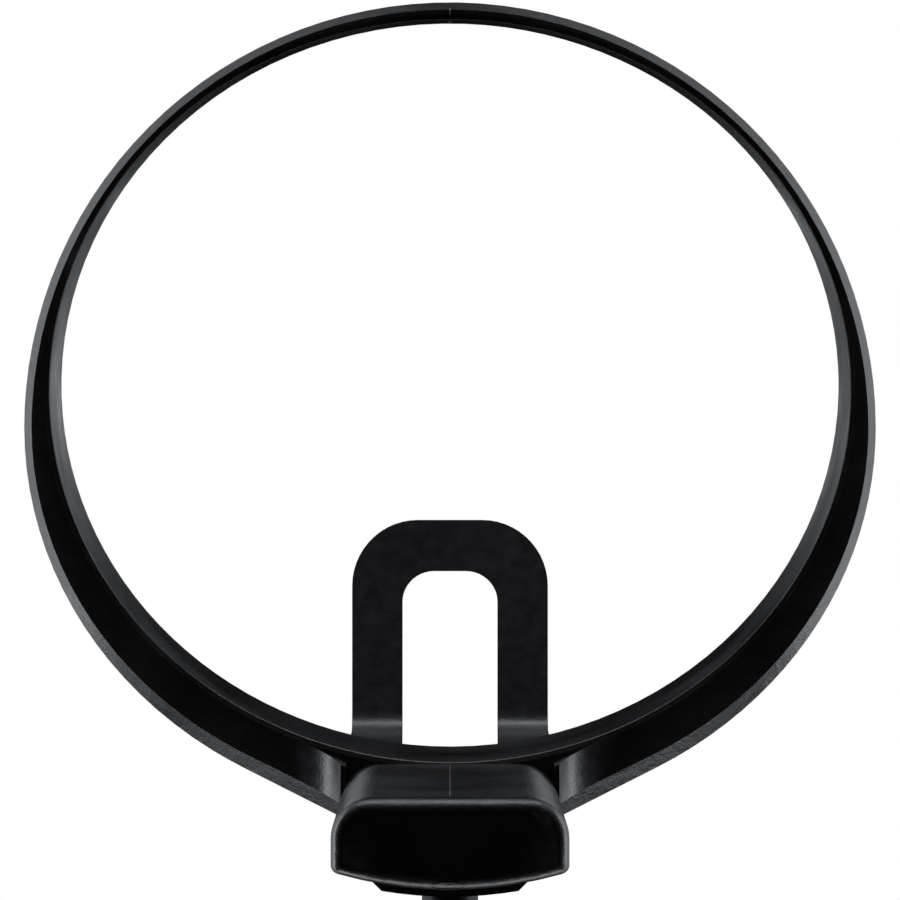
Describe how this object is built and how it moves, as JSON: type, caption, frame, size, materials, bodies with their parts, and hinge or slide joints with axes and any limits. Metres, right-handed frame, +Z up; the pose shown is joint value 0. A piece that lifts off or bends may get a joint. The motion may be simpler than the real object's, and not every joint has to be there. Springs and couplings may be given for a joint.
{
  "type": "water bottle cage",
  "caption": "Oval ring bottle cage with a tall spine and open foot loop, which slides down onto a dovetail rail plate bolted to a frame.",
  "frame": {"origin": "midway between the two frame bolts, in the plane that meets the frame", "axes": "+Z up along the bottle, +Y from the frame towards the bottle, +X across the cage"},
  "size_m": [0.0816, 0.0911, 0.0905],
  "materials": {
    "cage_nylon": "satin",
    "rail_nylon": "satin",
    "bolt_steel": "brushed",
    "washer_steel": "brushed"
  },
  "bodies": {
    "rail": {"rail_plate": "rail_nylon", "upper_bolt": "bolt_steel", "lower_bolt": "bolt_steel", "upper_washer": "washer_steel", "lower_washer": "washer_steel"},
    "cage": {"cage_body": "cage_nylon"}
  },
  "joints": [
    {"name": "cage_slide", "type": "slide", "parent": "rail", "child": "cage", "axis": [0, 0, 1], "range_m": [0, 0.07]}
  ]
}
